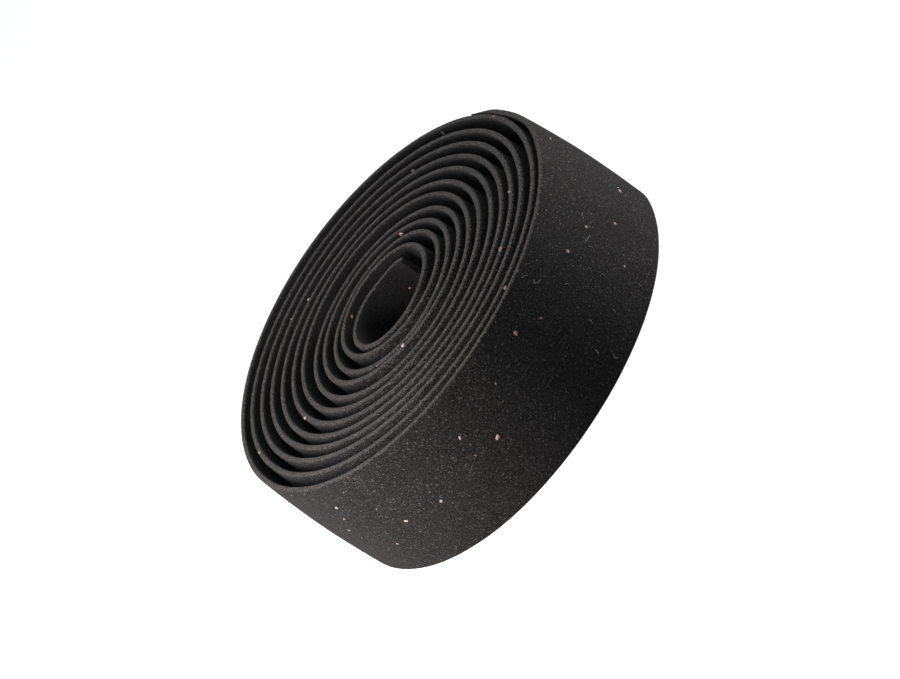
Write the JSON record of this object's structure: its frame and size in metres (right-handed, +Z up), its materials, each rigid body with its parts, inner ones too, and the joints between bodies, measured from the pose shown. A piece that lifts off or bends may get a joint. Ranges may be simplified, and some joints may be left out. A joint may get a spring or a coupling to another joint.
{
  "type": "handlebar tape roll",
  "caption": "Roll of soft cork foam handlebar tape, one strip wound flat on itself round an open oval core hole.",
  "frame": {"origin": "under the middle of the roll's outline, on the surface that its lower end rests on", "axes": "+Z up along the roll's axis, across the strip's width; +X lies 34 degrees clockwise of the inner end of the strip, seen from above"},
  "size_m": [0.0894, 0.0896, 0.03],
  "materials": {
    "cork_foam": "matte, fine closed-cell foam with a few cork flecks"
  },
  "bodies": {
    "root": {"bar_tape": "cork_foam"}
  },
  "joints": []
}
